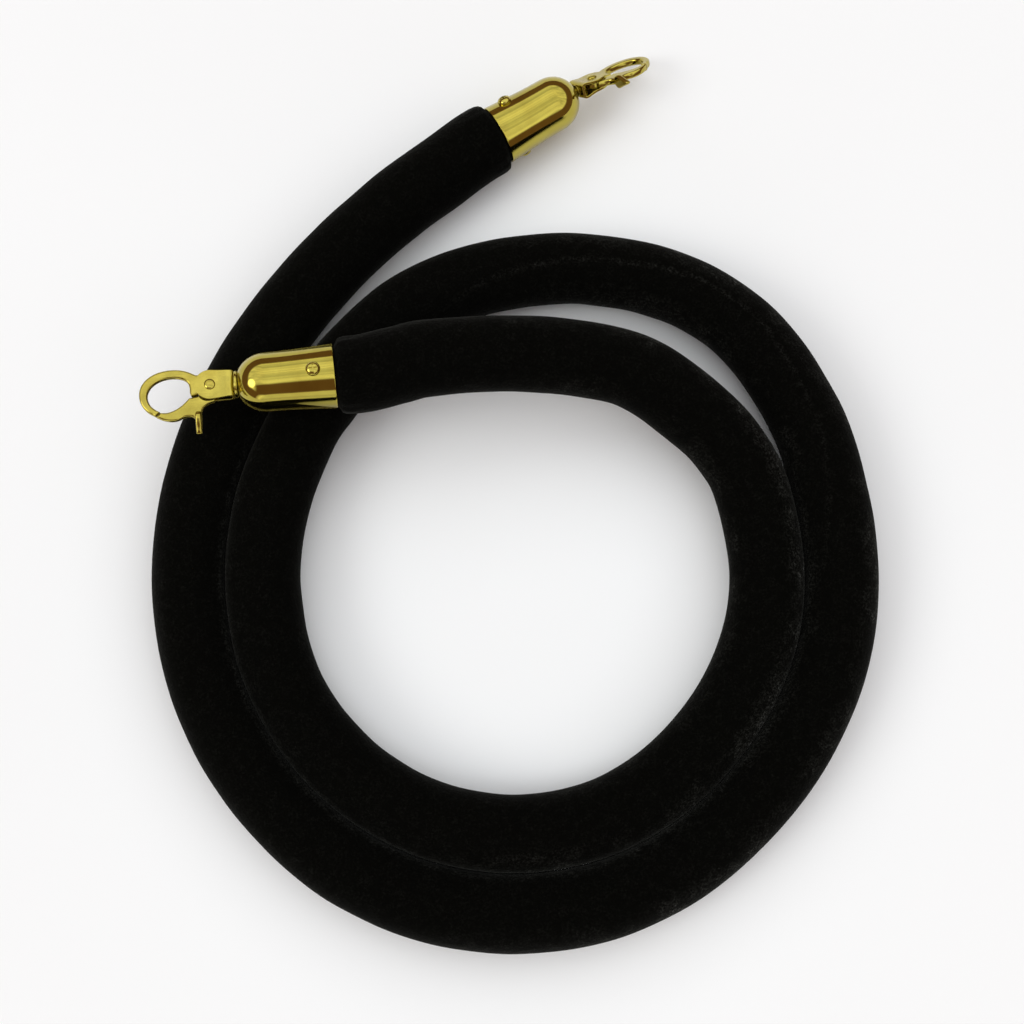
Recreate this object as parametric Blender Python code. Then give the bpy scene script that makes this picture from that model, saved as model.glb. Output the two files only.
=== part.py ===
"""Velvet barrier rope with a snap hook on each end, laid on a flat surface in just under two turns.

The rope is a velvet sleeve over a soft core. Each end is glued and screwed into a domed metal cap.
A riveted strap swivels on the cap's nose and carries a snap hook with a sprung trigger.

Dimensions are millimetres. MM turns them into metres where geometry is made.
+Z is up, and the surface that the rope lies on is z = 0.
"""
import math

import bmesh
import bpy
from mathutils import Euler, Matrix, Vector

MM = 0.001
OUTWARD = (0, -90, 0)      # turns a piece made along +X to stand along +Z

# Rope
ROPE_RADIUS = 16.0
LYING_HEIGHT = 15.7        # of the rope's centre line, which its weight presses a little into the pile
SLEEVE_THICKNESS = 1.2
CORE_RADIUS = 13.7
CORE_SETBACK = 22.0        # from the cap's mouth back to the core's end
SLEEVE_TUCK = 6.3          # length of sleeve inside the cap
TUCKED_RADIUS = 11.8
POINT_STEP = 24.0          # spacing of the tube's points
SHOULDER = ((7.0, 1.0), (4.6, 0.965), (2.2, 0.885), (0.6, 0.79))   # distance before the mouth, radius share

# Coil, in plan: the first turn is a circle, the second lies against it
COIL_CENTRE = (-0.1, -43.0)
FIRST_TURN_RADIUS = 106.8
STRAND_PITCH = 33.0
ARC_STEP = 15              # degrees between the points of a turn

# Route points relative to the coil's centre, with heights above the surface
OVERPASS = (
    (-47.9, 84.6, 43.9),
    (-35.3, 87.9, 42.4),
    (-0.4, 91.0, 38.3),
    (35.4, 88.8, 33.6),
    (57.0, 82.0, 29.8),
    (79.0, 66.6, 24.2),
    (91.4, 54.4, 20.4),
    (100.4, 38.4, 17.2),
)
WIDENING = (
    (-106.7, 14.0, LYING_HEIGHT),
    (-102.2, 37.6, LYING_HEIGHT),
    (-92.5, 63.4, LYING_HEIGHT),
    (-83.1, 79.4, LYING_HEIGHT),
    (-71.4, 95.3, LYING_HEIGHT),
    (-50.5, 114.6, LYING_HEIGHT),
    (-28.7, 126.8, LYING_HEIGHT),
    (-6.0, 133.5, LYING_HEIGHT),
    (19.0, 136.4, LYING_HEIGHT),
    (37.2, 135.4, LYING_HEIGHT),
    (59.1, 130.3, LYING_HEIGHT),
    (81.2, 120.2, LYING_HEIGHT),
    (104.0, 101.8, LYING_HEIGHT),
    (125.9, 69.0, LYING_HEIGHT),
    (136.6, 34.0, LYING_HEIGHT),
)
TAIL = (
    (-137.6, 30.4, LYING_HEIGHT),
    (-131.0, 58.0, LYING_HEIGHT),
    (-121.2, 80.9, LYING_HEIGHT),
    (-109.8, 101.0, LYING_HEIGHT),
    (-93.8, 122.2, LYING_HEIGHT),
    (-73.4, 144.6, LYING_HEIGHT),
    (-51.6, 165.6, LYING_HEIGHT),
    (-32.6, 181.2, LYING_HEIGHT),
)

# Ends: the centre of each cap's mouth, the cap's heading in plan and its upward tilt, how the hook leans
# in its loose swivel (down, then to its left) and its turn on it, and the first screw's place around the
# cap. END_STRAIGHT is the straight length of rope before each mouth.
ENDS = {
    "a": {
        "mouth": (-74.2, 79.0, 46.6), "heading": 186.8, "tilt": 5.5, "lean": (0.0, -2.0), "swivel": 180.0,
        "screw": 0.0,
    },
    "b": {
        "mouth": (-7.6, 198.3, 16.8), "heading": 30.9, "tilt": 1.5, "lean": (16.5, 3.5), "swivel": -46.0,
        "screw": -41.0,
    },
}
END_STRAIGHT = 12.0

# Cap, along its own axis from the mouth
CAP_MOUTH_RADIUS = 13.2
CAP_SHOULDER_RADIUS = 12.0
CAP_SHOULDER_X = 28.0
CAP_NOSE_RADIUS = 4.9
CAP_LENGTH = 39.5
CAP_WALL = 0.9
CAP_SEGMENTS = 40

# Plug inside the cap
PLUG_SPIGOT_RADIUS = 10.1
PLUG_HEAD_RADIUS = 10.9
PLUG_START = -18.0
PLUG_SHOULDER_X = 6.8
PLUG_END = 25.0

# Cap screws
SCREW_X = 8.6
SCREW_HEAD_RADIUS = 3.0
SCREW_HEAD_HEIGHT = 1.9
SCREW_SHANK_RADIUS = 1.35
SCREW_HOLE_RADIUS = 1.6
SCREW_SEAT_RADIUS = 13.1
SCREW_TIP_RADIUS = 5.6
RECESS_LENGTH = 3.4
RECESS_WIDTH = 0.7
RECESS_DEPTH = 1.0

# Swivel, which is loose enough in the cap's nose for the hook to lean
SWIVEL_SHANK_RADIUS = 1.6
SWIVEL_HOLE_RADIUS = 1.72
NOSE_HOLE_RADIUS = 1.95
SWIVEL_HEAD_X = (36.2, 37.7)
SWIVEL_HEAD_RADIUS = 2.9
WASHER_RADIUS = 2.8
WASHER_X = (40.5, 41.0)
HOOK_PIVOT_X = 50.7

# Strap, seen along the hook's width: half of its folded centre line, from the ear to the base
STRAP_THICKNESS = 1.0
STRAP_HALF_FOLD = ((7.0, 2.1), (-3.0, 2.1), (-4.4, 2.5), (-5.8, 3.3), (-7.2, 3.6), (-8.4, 3.2), (-9.1, 2.2))
STRAP_END_RADIUS = 6.1
STRAP_BASE_HALF_WIDTH = 5.3
RIVET_HOLE_RADIUS = 1.5
RIVET_SHANK_RADIUS = 1.38
RIVET_HEAD_RADIUS = 2.2

# Hook
HOOK_HALF_THICKNESS = 1.5
HOOK_EDGE_ROUND = 0.5
HOOK_SHANK_RADIUS = 5.4
SLOT_RADIUS = 6.0
SLOT_HALF_WIDTH = 0.8
LOOP_OUTSIDE = ((22.2, -11.9), (25.3, -9.9), (27.6, -6.9), (28.5, -3.1), (27.7, 0.8), (25.2, 4.0),
                (21.4, 6.2), (16.8, 7.2), (12.2, 7.1), (8.6, 6.1), (5.6, 4.6))
LOOP_INSIDE = ((8.2, -3.0), (8.3, -0.6), (9.0, 1.6), (11.2, 3.1), (14.6, 3.7), (18.4, 3.3), (21.8, 1.9),
               (24.2, -0.4), (25.2, -3.3), (24.5, -6.4), (22.8, -8.5), (20.5, -10.1))

# Trigger
HUB_RADIUS = 5.0
HUB_HALF_THICKNESS = 0.7
ARM_INNER_RADIUS = 6.2
ARM_START_ANGLE = -44.0
ARM_END_ANGLE = -104.0
GATE_UPPER = ((20.2, -10.4), (17.6, -10.5), (14.8, -9.7), (12.2, -8.2), (10.2, -6.5), (8.6, -4.9))
GATE_LOWER = ((-1.5, -6.9), (1.0, -7.7), (2.9, -9.2), (3.7, -11.4), (3.4, -14.4), (3.5, -17.4),
              (4.2, -18.6), (5.2, -18.2), (5.9, -16.2), (6.6, -14.1), (8.4, -12.6), (11.0, -12.9),
              (13.2, -13.9), (16.0, -14.2), (19.0, -13.6), (21.9, -12.2))
SPRING_POCKET_RADIUS = 4.1
SPRING_POCKET_FLOOR = -0.3
SPRING_RADIUS = 2.4
SPRING_WIRE_RADIUS = 0.15
SPRING_PITCH = 0.31
SPRING_TURNS = 2
SPRING_LEG = 1.6


def clear_scene():
    for item in list(bpy.data.objects):
        bpy.data.objects.remove(item, do_unlink=True)


def make_material(name, colour, roughness, metallic):
    material = bpy.data.materials.new(name)
    material.use_nodes = True
    shader = material.node_tree.nodes["Principled BSDF"]
    shader.inputs["Base Color"].default_value = (*colour, 1.0)
    shader.inputs["Roughness"].default_value = roughness
    shader.inputs["Metallic"].default_value = metallic
    return material


def add_empty(name, parent=None, location=(0, 0, 0), rotation=(0, 0, 0)):
    empty = bpy.data.objects.new(name, None)
    bpy.context.collection.objects.link(empty)
    empty.parent = parent
    empty.location = Vector(location) * MM
    empty.rotation_euler = Euler([math.radians(angle) for angle in rotation])
    return empty


def add_object(name, data, material, parent=None, location=(0, 0, 0), rotation=(0, 0, 0)):
    item = bpy.data.objects.new(name, data)
    bpy.context.collection.objects.link(item)
    item.parent = parent
    item.location = Vector(location) * MM
    item.rotation_euler = Euler([math.radians(angle) for angle in rotation])
    if material:
        data.materials.append(material)
    return item


def finish_mesh(bm, name, sharp_angle=35.0):
    """Scale a millimetre bmesh to metres and turn it into a smooth-shaded mesh."""
    bmesh.ops.scale(bm, vec=(MM, MM, MM), verts=bm.verts)
    bmesh.ops.recalc_face_normals(bm, faces=bm.faces)
    mesh = bpy.data.meshes.new(name)
    bm.to_mesh(mesh)
    bm.free()
    mesh.shade_smooth()
    mesh.set_sharp_from_angle(angle=math.radians(sharp_angle))
    return mesh


def turned_mesh(name, profile, segments, ring=False):
    """Turn (x, radius) points about the X axis. A ring's profile is a closed loop off the axis."""
    bm = bmesh.new()
    rows = []
    for x, radius in profile:
        if radius == 0:
            rows.append([bm.verts.new((x, 0, 0))] * segments)
            continue
        angles = [math.tau * (step + 0.5) / segments for step in range(segments)]
        rows.append([bm.verts.new((x, radius * math.cos(a), radius * math.sin(a))) for a in angles])
    pairs = list(zip(rows, rows[1:]))
    if ring:
        pairs.append((rows[-1], rows[0]))
    for first, second in pairs:
        for step in range(segments):
            after = (step + 1) % segments
            corners = [first[step], first[after], second[after], second[step]]
            bm.faces.new(list(dict.fromkeys(corners)))
    return finish_mesh(bm, name)


def plate_mesh(name, outline, low, high):
    """Extrude a closed (x, y) outline from height low to height high."""
    bm = bmesh.new()
    face = bm.faces.new([bm.verts.new((x, y, low)) for x, y in outline])
    sides = bmesh.ops.extrude_face_region(bm, geom=[face])
    raised = [item for item in sides["geom"] if isinstance(item, bmesh.types.BMVert)]
    bmesh.ops.translate(bm, verts=raised, vec=(0, 0, high - low))
    return finish_mesh(bm, name)


def box_mesh(name, size):
    bm = bmesh.new()
    bmesh.ops.create_cube(bm, size=1.0)
    bmesh.ops.scale(bm, vec=size, verts=bm.verts)
    return finish_mesh(bm, name)


def cylinder_profile(start, end, radius):
    return ((start, 0), (start, radius), (end, radius), (end, 0))


def arc_points(radius, start, end, steps):
    """Points on a circle about the origin, from one angle in degrees to another."""
    angles = [math.radians(start + (end - start) * step / steps) for step in range(steps + 1)]
    return [(radius * math.cos(a), radius * math.sin(a)) for a in angles]


def smooth_points(points, per_span):
    """Catmull-Rom curve through the points, with per_span steps between neighbours."""
    knots = [Vector(point) for point in points]
    knots = [knots[0] * 2 - knots[1]] + knots + [knots[-1] * 2 - knots[-2]]
    curve = []
    for before, start, end, after in zip(knots, knots[1:], knots[2:], knots[3:]):
        for step in range(per_span):
            t = step / per_span
            pull = (end - before) * t
            bend = (before * 2 - start * 5 + end * 4 - after) * t * t
            twist = (start * 3 - before - end * 3 + after) * t ** 3
            curve.append(start + (pull + bend + twist) / 2)
    curve.append(knots[-2])
    return curve


def points_at(curve, distances):
    """Points at the given distances along a finely stepped curve."""
    found = []
    travelled = 0.0
    segments = list(zip(curve, curve[1:]))
    index = 0
    for distance in distances:
        while index < len(segments) - 1:
            length = (segments[index][1] - segments[index][0]).length
            if travelled + length >= distance:
                break
            travelled += length
            index += 1
        start, end = segments[index]
        found.append(start.lerp(end, (distance - travelled) / (end - start).length))
    return found


def cut(item, cutter, operation="DIFFERENCE"):
    """Cut one object with another, and keep the cutter as a hidden guide."""
    cutter.hide_render = True
    cutter.display_type = "WIRE"
    modifier = item.modifiers.new(cutter.name, "BOOLEAN")
    modifier.operation = operation
    modifier.object = cutter


def add_bevel(item, width, segments=1, angle=50.0):
    modifier = item.modifiers.new("rounded edges", "BEVEL")
    modifier.width = width * MM
    modifier.segments = segments
    modifier.limit_method = "ANGLE"
    modifier.angle_limit = math.radians(angle)


def end_direction(end):
    heading = math.radians(end["heading"])
    tilt = math.radians(end["tilt"])
    return Vector((math.cos(heading) * math.cos(tilt), math.sin(heading) * math.cos(tilt), math.sin(tilt)))


def end_mouth(end):
    return Vector(end["mouth"]) + Vector((*COIL_CENTRE, 0.0))


def turn_points(radius, start, end):
    """Points of a flat turn, clockwise from one angle to another, relative to the coil's centre."""
    steps = (start - end) // ARC_STEP
    return [(x, y, LYING_HEIGHT) for x, y in arc_points(radius, start, end, steps)]


def rope_curve():
    """The rope's centre line from the mouth of cap a to the mouth of cap b, finely stepped."""
    second_radius = FIRST_TURN_RADIUS + STRAND_PITCH
    middle = [
        *OVERPASS,
        *turn_points(FIRST_TURN_RADIUS, 5, -175),
        *WIDENING,
        *turn_points(second_radius, 0, -180),
        *TAIL,
    ]
    shift = Vector((*COIL_CENTRE, 0.0))
    first, last = ENDS["a"], ENDS["b"]
    start, finish = end_mouth(first), end_mouth(last)
    route = [start, start - end_direction(first) * END_STRAIGHT]
    route += [Vector(point) + shift for point in middle]
    route += [finish - end_direction(last) * END_STRAIGHT, finish]
    return smooth_points(route, per_span=12)


def add_tube(name, points, shares, radius, material, caps):
    """A tube of the given radius along the points, scaled at each point by its share."""
    curve = bpy.data.curves.new(name, "CURVE")
    curve.dimensions = "3D"
    curve.bevel_depth = radius * MM
    curve.bevel_resolution = 4
    curve.use_fill_caps = caps
    spline = curve.splines.new("POLY")
    spline.points.add(len(points) - 1)
    for target, point, share in zip(spline.points, points, shares):
        target.co = (*(point * MM), 1.0)
        target.radius = share
    return add_object(name, curve, material)


def build_rope(materials):
    """The velvet sleeve, tucked into both caps, and the core inside it."""
    curve = rope_curve()
    length = sum((end - start).length for start, end in zip(curve, curve[1:]))
    inner_length = length - 2 * CORE_SETBACK
    spans = round(inner_length / POINT_STEP)
    core_distances = [CORE_SETBACK + inner_length * step / spans for step in range(spans + 1)]
    core_points = points_at(curve, core_distances)

    shares = [share for _, share in reversed(SHOULDER)]
    near = points_at(curve, [distance for distance, _ in reversed(SHOULDER)])
    far = points_at(curve, [length - distance for distance, _ in SHOULDER])
    first, last = ENDS["a"], ENDS["b"]
    start, finish = end_mouth(first), end_mouth(last)
    tucked_start = start + end_direction(first) * SLEEVE_TUCK
    tucked_finish = finish + end_direction(last) * SLEEVE_TUCK
    tucked_share = TUCKED_RADIUS / ROPE_RADIUS
    points = [tucked_start, start, *near, *core_points, *far, finish, tucked_finish]
    all_shares = [tucked_share] * 2 + shares + [1.0] * len(core_points) + shares[::-1] + [tucked_share] * 2

    cover = add_tube("velvet_cover", points, all_shares, ROPE_RADIUS, materials["velvet"], caps=False)
    wall = cover.modifiers.new("cloth thickness", "SOLIDIFY")
    wall.thickness = SLEEVE_THICKNESS * MM
    wall.offset = -1.0
    wall.use_even_offset = True
    add_tube("rope_core", core_points, [1.0] * len(core_points), CORE_RADIUS, materials["core"], caps=True)


def cap_profile():
    """Closed section of the cap's wall: tapered body, round shoulder and a flat, pierced nose."""
    dome_length = CAP_LENGTH - CAP_SHOULDER_X
    top_angle = math.acos(CAP_NOSE_RADIUS / CAP_SHOULDER_RADIUS)
    stretch = dome_length / math.sin(top_angle)

    def dome(inset, steps):
        angles = [top_angle * step / steps for step in range(steps + 1)]
        radius = CAP_SHOULDER_RADIUS - inset
        return [(CAP_SHOULDER_X + (stretch - inset) * math.sin(a), radius * math.cos(a)) for a in angles]

    outside = [(0.0, CAP_MOUTH_RADIUS - 0.3), (0.3, CAP_MOUTH_RADIUS), *dome(0.0, 7)]
    inside = [*dome(CAP_WALL, 4)[::-1], (0.0, CAP_MOUTH_RADIUS - CAP_WALL)]
    nose = [(CAP_LENGTH, NOSE_HOLE_RADIUS), (inside[0][0], NOSE_HOLE_RADIUS)]
    return outside + nose + inside


def build_cap(tag, frame, screw_angle, materials):
    """The metal cap and the plug inside it, both drilled for the two cap screws."""
    cap_mesh = turned_mesh("end_cap", cap_profile(), CAP_SEGMENTS, ring=True)
    cap = add_object(f"end_cap_{tag}", cap_mesh, materials["brass"], frame)
    plug_profile = (
        (PLUG_START, 0), (PLUG_START, PLUG_SPIGOT_RADIUS - 1), (PLUG_START + 1, PLUG_SPIGOT_RADIUS),
        (PLUG_SHOULDER_X, PLUG_SPIGOT_RADIUS), (PLUG_SHOULDER_X, PLUG_HEAD_RADIUS),
        (PLUG_END - 1, PLUG_HEAD_RADIUS), (PLUG_END, PLUG_HEAD_RADIUS - 1), (PLUG_END, 0),
    )
    plug = add_object(f"end_plug_{tag}", turned_mesh("end_plug", plug_profile, 24), materials["wood"], frame)
    for number, angle in enumerate((screw_angle, screw_angle + 180.0), start=1):
        drill_mesh = turned_mesh("drill", cylinder_profile(SCREW_TIP_RADIUS - 0.6, 20.0, SCREW_HOLE_RADIUS), 16)
        place = add_empty(f"screw_place_{tag}_{number}", frame, (SCREW_X, 0, 0), (angle, 0, 0))
        drill = add_object(f"screw_drill_{tag}_{number}", drill_mesh, None, place, rotation=OUTWARD)
        cut(cap, drill)
        cut(plug, drill)
        build_screw(f"cap_screw_{tag}_{number}", place, materials["brass"])


def build_screw(name, place, material):
    """A pan-head screw pointing at the cap's axis, with a cross recess."""
    seat = SCREW_SEAT_RADIUS
    profile = (
        (SCREW_TIP_RADIUS, 0), (SCREW_TIP_RADIUS + 2, SCREW_SHANK_RADIUS), (seat, SCREW_SHANK_RADIUS),
        (seat, SCREW_HEAD_RADIUS), (seat + 0.8, SCREW_HEAD_RADIUS - 0.1),
        (seat + 1.4, SCREW_HEAD_RADIUS - 0.6), (seat + 1.75, SCREW_HEAD_RADIUS - 1.4),
        (seat + SCREW_HEAD_HEIGHT, 0),
    )
    screw = add_object(name, turned_mesh("cap_screw", profile, 16), material, place, rotation=OUTWARD)
    blade_x = seat + SCREW_HEAD_HEIGHT
    for letter, size in (
        ("y", (2 * RECESS_DEPTH, RECESS_LENGTH, RECESS_WIDTH)),
        ("z", (2 * RECESS_DEPTH, RECESS_WIDTH, RECESS_LENGTH)),
    ):
        blade = add_object(f"{name}_recess_{letter}", box_mesh("recess", size), None, screw, (blade_x, 0, 0))
        cut(screw, blade)


def build_swivel(tag, hook_frame, materials):
    """The rivet that the strap turns on, and the washer between strap and cap."""
    head_low, head_high = SWIVEL_HEAD_X
    profile = (
        (head_low, 0), (head_low, SWIVEL_HEAD_RADIUS - 0.5), (head_low + 0.5, SWIVEL_HEAD_RADIUS),
        (head_high, SWIVEL_HEAD_RADIUS), (head_high, SWIVEL_SHANK_RADIUS),
        (42.3, SWIVEL_SHANK_RADIUS), (42.3, 2.2), (42.9, 2.0), (43.4, 1.2), (43.5, 0),
    )
    shifted = [(x - HOOK_PIVOT_X, radius) for x, radius in profile]
    add_object(f"swivel_rivet_{tag}", turned_mesh("swivel_rivet", shifted, 20), materials["brass"], hook_frame)
    low, high = (x - HOOK_PIVOT_X for x in WASHER_X)
    washer_profile = (
        (low, SWIVEL_HOLE_RADIUS), (low, WASHER_RADIUS), (high - 0.2, WASHER_RADIUS),
        (high, WASHER_RADIUS - 0.2), (high, SWIVEL_HOLE_RADIUS),
    )
    washer_mesh = turned_mesh("swivel_washer", washer_profile, 20, ring=True)
    add_object(f"swivel_washer_{tag}", washer_mesh, materials["brass"], hook_frame)


def build_strap(tag, hook_frame, materials):
    """Sheet folded into a bow that holds the swivel rivet, with two ears that clamp the hook."""
    fold = [*STRAP_HALF_FOLD, *[(x, -z) for x, z in reversed(STRAP_HALF_FOLD)]]
    bm = bmesh.new()
    edge = STRAP_END_RADIUS + 1.0
    left = [bm.verts.new((x, edge, z)) for x, z in fold]
    right = [bm.verts.new((x, -edge, z)) for x, z in fold]
    for index in range(len(fold) - 1):
        bm.faces.new((left[index], left[index + 1], right[index + 1], right[index]))
    strap = add_object(f"strap_{tag}", finish_mesh(bm, "strap"), materials["brass"], hook_frame)
    sheet = strap.modifiers.new("sheet thickness", "SOLIDIFY")
    sheet.thickness = STRAP_THICKNESS * MM
    sheet.offset = 0.0
    sheet.use_even_offset = True

    base_x = STRAP_HALF_FOLD[-1][0] - 2 * STRAP_THICKNESS
    outline = arc_points(STRAP_END_RADIUS, -88, 88, 20)
    outline += [(base_x, STRAP_BASE_HALF_WIDTH), (base_x, -STRAP_BASE_HALF_WIDTH)]
    blank = add_object(f"strap_outline_{tag}", plate_mesh("strap_outline", outline, -6, 6), None, hook_frame)
    cut(strap, blank, "INTERSECT")
    cut(strap, rivet_drill(f"strap_drill_{tag}", hook_frame))
    swivel_mesh = turned_mesh("swivel_drill", cylinder_profile(-12, -5, SWIVEL_HOLE_RADIUS), 20)
    cut(strap, add_object(f"swivel_drill_{tag}", swivel_mesh, None, hook_frame))


def rivet_drill(name, hook_frame):
    mesh = turned_mesh("rivet_drill", cylinder_profile(-8, 8, RIVET_HOLE_RADIUS), 20)
    return add_object(name, mesh, None, hook_frame, rotation=(0, 90, 0))


def build_hook_rivet(tag, hook_frame, materials):
    """Round-headed cross rivet through the ears, the hook's shank and the trigger's hub."""
    half_dome = ((2.7, RIVET_HEAD_RADIUS), (3.1, RIVET_HEAD_RADIUS - 0.3), (3.5, RIVET_HEAD_RADIUS - 1.1))
    low_end = [(-3.65, 0), *[(-x, radius) for x, radius in reversed(half_dome)]]
    high_end = [*half_dome, (3.65, 0)]
    shank = [(-2.7, RIVET_SHANK_RADIUS), (2.7, RIVET_SHANK_RADIUS)]
    mesh = turned_mesh("hook_rivet", low_end + shank + high_end, 20)
    add_object(f"hook_rivet_{tag}", mesh, materials["brass"], hook_frame, rotation=(0, 90, 0))


def build_hook_body(tag, hook_frame, materials):
    """The open loop and its shank, slotted for the trigger's hub."""
    outside = [point[:2] for point in smooth_points([(*p, 0) for p in LOOP_OUTSIDE], 2)]
    inside = [point[:2] for point in smooth_points([(*p, 0) for p in LOOP_INSIDE], 2)]
    shank = arc_points(HOOK_SHANK_RADIUS, 64, 320, 18)
    outline = outside + shank + [(8.2, -4.4)] + inside
    mesh = plate_mesh("hook_body", outline, -HOOK_HALF_THICKNESS, HOOK_HALF_THICKNESS)
    body = add_object(f"hook_body_{tag}", mesh, materials["brass"], hook_frame)
    add_bevel(body, HOOK_EDGE_ROUND)
    slot_mesh = plate_mesh("slot", arc_points(SLOT_RADIUS, 0, 345, 23), -SLOT_HALF_WIDTH, SLOT_HALF_WIDTH)
    cut(body, add_object(f"slot_{tag}", slot_mesh, None, hook_frame))
    cut(body, rivet_drill(f"shank_drill_{tag}", hook_frame))


def build_trigger(tag, trigger_frame, materials):
    """Gate arm with its thumb tab, on a thin hub with a pocket for the spring."""
    lower = [point[:2] for point in smooth_points([(*p, 0) for p in GATE_LOWER], 2)]
    upper = [point[:2] for point in smooth_points([(*p, 0) for p in GATE_UPPER], 2)]
    inner_arc = arc_points(ARM_INNER_RADIUS, ARM_START_ANGLE, ARM_END_ANGLE, 8)
    mesh = plate_mesh("trigger", lower + upper + inner_arc, -HOOK_HALF_THICKNESS, HOOK_HALF_THICKNESS)
    trigger = add_object(f"trigger_{tag}", mesh, materials["brass"], trigger_frame)
    add_bevel(trigger, HOOK_EDGE_ROUND)

    reach = ARM_INNER_RADIUS + 0.7
    hub_outline = arc_points(HUB_RADIUS, ARM_START_ANGLE - 4, ARM_END_ANGLE + 4 + 360, 24)
    hub_outline += arc_points(reach, ARM_END_ANGLE + 4, ARM_START_ANGLE - 4, 6)
    hub_mesh = plate_mesh("hub", hub_outline, -HUB_HALF_THICKNESS, HUB_HALF_THICKNESS)
    cut(trigger, add_object(f"hub_{tag}", hub_mesh, None, trigger_frame), "UNION")
    pocket_mesh = plate_mesh("pocket", arc_points(SPRING_POCKET_RADIUS, 0, 345, 23), SPRING_POCKET_FLOOR, 2.0)
    cut(trigger, add_object(f"pocket_{tag}", pocket_mesh, None, trigger_frame))
    cut(trigger, rivet_drill(f"hub_drill_{tag}", trigger_frame))


def build_spring(tag, hook_frame, materials):
    """Torsion spring around the cross rivet, in the trigger's pocket."""
    per_turn = 12
    base = SPRING_POCKET_FLOOR + SPRING_WIRE_RADIUS + 0.1
    coil = []
    for step in range(SPRING_TURNS * per_turn + 1):
        angle = math.tau * step / per_turn
        height = base + SPRING_PITCH * step / per_turn
        coil.append(Vector((SPRING_RADIUS * math.cos(angle), SPRING_RADIUS * math.sin(angle), height)))
    first_leg = coil[0] + Vector((0, -SPRING_LEG, 0))
    last_leg = coil[-1] + Vector((0, SPRING_LEG, 0))
    points = [first_leg, *coil, last_leg]
    curve = bpy.data.curves.new(f"trigger_spring_{tag}", "CURVE")
    curve.dimensions = "3D"
    curve.bevel_depth = SPRING_WIRE_RADIUS * MM
    curve.bevel_resolution = 1
    curve.use_fill_caps = True
    spline = curve.splines.new("POLY")
    spline.points.add(len(points) - 1)
    for target, point in zip(spline.points, points):
        target.co = (*(point * MM), 1.0)
    add_object(f"trigger_spring_{tag}", curve, materials["steel"], hook_frame)


def build_end(tag, end, materials):
    """A cap with everything fixed to it, and the swivelling hook in front of it."""
    rotation = (0.0, -end["tilt"], end["heading"])
    frame = add_empty(f"cap_axis_{tag}", None, end_mouth(end), rotation)
    play_x = CAP_LENGTH - CAP_WALL / 2
    play = add_empty(f"swivel_play_{tag}", frame, (play_x, 0, 0), (0, *end["lean"]))
    hook_frame = add_empty(f"swivel_axis_{tag}", play, (HOOK_PIVOT_X - play_x, 0, 0), (end["swivel"], 0, 0))
    trigger_frame = add_empty(f"trigger_axis_{tag}", hook_frame)
    build_cap(tag, frame, end["screw"], materials)
    build_swivel(tag, hook_frame, materials)
    build_strap(tag, hook_frame, materials)
    build_hook_rivet(tag, hook_frame, materials)
    build_hook_body(tag, hook_frame, materials)
    build_trigger(tag, trigger_frame, materials)
    build_spring(tag, hook_frame, materials)


def build():
    clear_scene()
    materials = {
        "velvet": make_material("black velvet", (0.012, 0.012, 0.011), 0.95, 0.0),
        "core": make_material("soft core", (0.62, 0.6, 0.55), 0.9, 0.0),
        "brass": make_material("polished brass plate", (0.82, 0.66, 0.25), 0.12, 1.0),
        "steel": make_material("spring steel", (0.6, 0.6, 0.6), 0.3, 1.0),
        "wood": make_material("turned wood", (0.55, 0.4, 0.24), 0.7, 0.0),
    }
    build_rope(materials)
    for tag, end in ENDS.items():
        build_end(tag, end, materials)


build()
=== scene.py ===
"""Looks of the velvet barrier rope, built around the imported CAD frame.

Shapes are written in millimetres in local frames: an end frame has its origin at a cap's mouth and +X
along the cap towards the hook; a hook frame has its origin at the cross rivet.
"""

import math

import bmesh
import bpy
import numpy as np
from mathutils import Euler, Matrix, Vector


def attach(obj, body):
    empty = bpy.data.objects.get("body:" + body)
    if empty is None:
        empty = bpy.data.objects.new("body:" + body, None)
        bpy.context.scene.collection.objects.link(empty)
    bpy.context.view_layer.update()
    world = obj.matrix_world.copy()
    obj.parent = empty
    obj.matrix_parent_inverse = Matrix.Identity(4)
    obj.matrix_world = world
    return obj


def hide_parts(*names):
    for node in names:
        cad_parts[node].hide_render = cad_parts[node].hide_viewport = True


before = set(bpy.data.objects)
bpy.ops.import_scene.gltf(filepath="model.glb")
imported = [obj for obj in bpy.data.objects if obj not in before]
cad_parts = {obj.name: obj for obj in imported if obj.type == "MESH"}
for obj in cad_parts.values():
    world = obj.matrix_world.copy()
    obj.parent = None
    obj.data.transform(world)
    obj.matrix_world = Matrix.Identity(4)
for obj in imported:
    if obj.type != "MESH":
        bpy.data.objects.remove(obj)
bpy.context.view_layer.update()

MM = 0.001

# Camera
VIEW_TARGET = (-1.5, -15.5, 16.0)
VIEW_DISTANCE = 600.0
VIEW_ELEVATION = 80.0
FOCAL_SHARE = 1.37305          # focal length as a share of the picture's width
SENSOR = 36.0
NEAREST_SEEN = 10.0            # nothing nearer than this shows

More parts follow.
